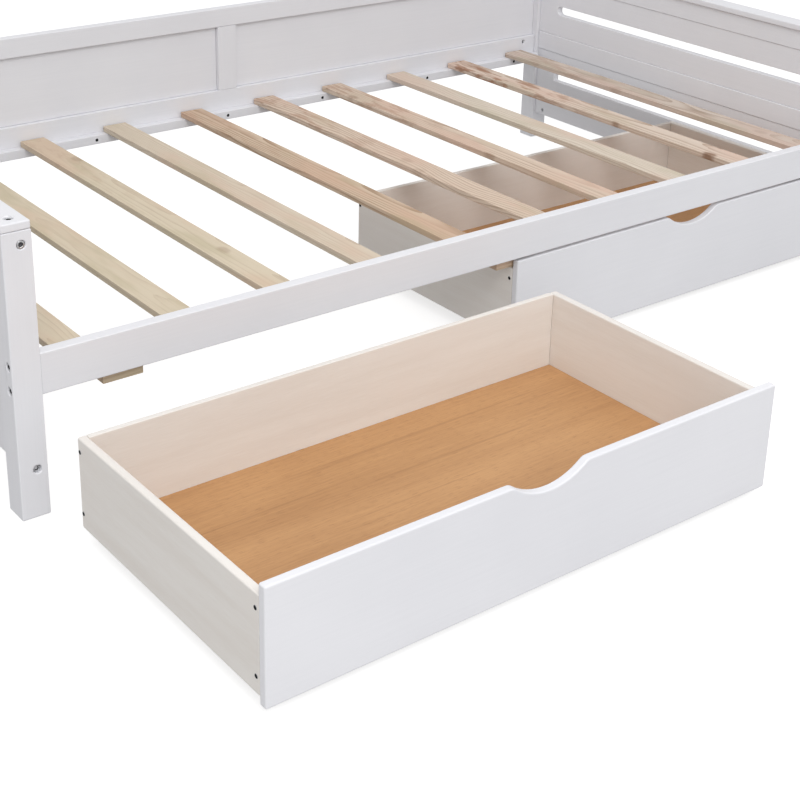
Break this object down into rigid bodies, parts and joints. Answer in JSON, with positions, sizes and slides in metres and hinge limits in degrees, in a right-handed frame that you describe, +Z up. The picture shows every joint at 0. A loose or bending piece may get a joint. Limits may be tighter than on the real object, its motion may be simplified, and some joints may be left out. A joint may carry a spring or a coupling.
{
  "type": "daybed frame",
  "caption": "Wooden daybed frame with slatted base, panelled back and ends, and roll-out storage drawers beneath on small wheels.",
  "frame": {"origin": "on the floor, under the centre of the whole object's box with the left drawer pulled out", "axes": "+X along the bed to the right as seen from the front, +Y from the front to the panelled back, +Z up"},
  "size_m": [2.012, 1.676, 0.489],
  "materials": {
    "white_paint": "satin white paint on wood",
    "slat_pine": "sanded bare pine",
    "box_board": "thin cream stain on board",
    "printed_board": "wood-grain printed hardboard",
    "raw_pine": "sawn bare pine",
    "wheel_plastic": "moulded nylon",
    "bolt_steel": "zinc plated"
  },
  "bodies": {
    "bed_frame": {"back_bottom_rail": "white_paint", "back_middle_stile": "white_paint", "back_panel_left": "white_paint", "back_panel_right": "white_paint", "back_top_rail": "white_paint", "cap_left": "white_paint", "cap_right": "white_paint", "end_lower_panel_left": "white_paint", "end_lower_panel_right": "white_paint", "end_mid_rail_left": "white_paint", "end_mid_rail_right": "white_paint", "end_top_rail_left": "white_paint", "end_top_rail_right": "white_paint", "end_upper_panel_left": "white_paint", "end_upper_panel_right": "white_paint", "front_rail": "white_paint", "guide_block_left": "raw_pine", "guide_block_middle": "raw_pine", "guide_block_right": "raw_pine", "post_back_left": "white_paint", "post_back_right": "white_paint", "post_front_left": "white_paint", "post_front_right": "white_paint", "slat_01": "slat_pine", "slat_02": "slat_pine", "slat_03": "slat_pine", "slat_04": "slat_pine", "slat_05": "slat_pine", "slat_06": "slat_pine", "slat_07": "slat_pine", "slat_08": "slat_pine", "slat_09": "slat_pine", "slat_10": "slat_pine", "slat_cleat_back": "white_paint", "slat_cleat_front": "white_paint"},
    "left_drawer": {"left_drawer_back": "box_board", "left_drawer_bottom": "printed_board", "left_drawer_front": "white_paint", "left_drawer_inner_front": "box_board", "left_drawer_runner_left": "raw_pine", "left_drawer_runner_right": "raw_pine", "left_drawer_side_left": "box_board", "left_drawer_side_right": "box_board"},
    "left_drawer_wheel_front_left_body": {"left_drawer_wheel_front_left": "wheel_plastic"},
    "left_drawer_wheel_front_right_body": {"left_drawer_wheel_front_right": "wheel_plastic"},
    "left_drawer_wheel_back_left_body": {"left_drawer_wheel_back_left": "wheel_plastic"},
    "left_drawer_wheel_back_right_body": {"left_drawer_wheel_back_right": "wheel_plastic"},
    "right_drawer": {"right_drawer_back": "box_board", "right_drawer_bottom": "printed_board", "right_drawer_front": "white_paint", "right_drawer_inner_front": "box_board", "right_drawer_runner_left": "raw_pine", "right_drawer_runner_right": "raw_pine", "right_drawer_side_left": "box_board", "right_drawer_side_right": "box_board"},
    "right_drawer_wheel_front_left_body": {"right_drawer_wheel_front_left": "wheel_plastic"},
    "right_drawer_wheel_front_right_body": {"right_drawer_wheel_front_right": "wheel_plastic"},
    "right_drawer_wheel_back_left_body": {"right_drawer_wheel_back_left": "wheel_plastic"},
    "right_drawer_wheel_back_right_body": {"right_drawer_wheel_back_right": "wheel_plastic"}
  },
  "joints": [
    {"name": "left_drawer_slide", "type": "slide", "parent": "bed_frame", "child": "left_drawer", "axis": [0, 1, 0], "range_m": [0, 0.6144]},
    {"name": "left_drawer_wheel_front_left_spin", "type": "hinge", "parent": "left_drawer", "child": "left_drawer_wheel_front_left_body", "pos_m": [-0.8605, -0.7477, 0.015], "axis": [1, 0, 0], "continuous": true},
    {"name": "left_drawer_wheel_front_right_spin", "type": "hinge", "parent": "left_drawer", "child": "left_drawer_wheel_front_right_body", "pos_m": [-0.097, -0.7477, 0.015], "axis": [1, 0, 0], "continuous": true},
    {"name": "left_drawer_wheel_back_left_spin", "type": "hinge", "parent": "left_drawer", "child": "left_drawer_wheel_back_left_body", "pos_m": [-0.8605, -0.4056, 0.015], "axis": [1, 0, 0], "continuous": true},
    {"name": "left_drawer_wheel_back_right_spin", "type": "hinge", "parent": "left_drawer", "child": "left_drawer_wheel_back_right_body", "pos_m": [-0.097, -0.4056, 0.015], "axis": [1, 0, 0], "continuous": true},
    {"name": "right_drawer_slide", "type": "slide", "parent": "bed_frame", "child": "right_drawer", "axis": [0, -1, 0], "range_m": [0, 0.6144]},
    {"name": "right_drawer_wheel_front_left_spin", "type": "hinge", "parent": "right_drawer", "child": "right_drawer_wheel_front_left_body", "pos_m": [0.097, -0.1333, 0.015], "axis": [1, 0, 0], "continuous": true},
    {"name": "right_drawer_wheel_front_right_spin", "type": "hinge", "parent": "right_drawer", "child": "right_drawer_wheel_front_right_body", "pos_m": [0.8605, -0.1333, 0.015], "axis": [1, 0, 0], "continuous": true},
    {"name": "right_drawer_wheel_back_left_spin", "type": "hinge", "parent": "right_drawer", "child": "right_drawer_wheel_back_left_body", "pos_m": [0.097, 0.2088, 0.015], "axis": [1, 0, 0], "continuous": true},
    {"name": "right_drawer_wheel_back_right_spin", "type": "hinge", "parent": "right_drawer", "child": "right_drawer_wheel_back_right_body", "pos_m": [0.8605, 0.2088, 0.015], "axis": [1, 0, 0], "continuous": true}
  ],
  "couplings": [
    {"joint": "left_drawer_wheel_front_left_spin", "follows": "left_drawer_slide", "rad_per_m": -66.667},
    {"joint": "left_drawer_wheel_front_right_spin", "follows": "left_drawer_slide", "rad_per_m": -66.667},
    {"joint": "left_drawer_wheel_back_left_spin", "follows": "left_drawer_slide", "rad_per_m": -66.667},
    {"joint": "left_drawer_wheel_back_right_spin", "follows": "left_drawer_slide", "rad_per_m": -66.667},
    {"joint": "right_drawer_wheel_front_left_spin", "follows": "right_drawer_slide", "rad_per_m": 66.667},
    {"joint": "right_drawer_wheel_front_right_spin", "follows": "right_drawer_slide", "rad_per_m": 66.667},
    {"joint": "right_drawer_wheel_back_left_spin", "follows": "right_drawer_slide", "rad_per_m": 66.667},
    {"joint": "right_drawer_wheel_back_right_spin", "follows": "right_drawer_slide", "rad_per_m": 66.667}
  ]
}
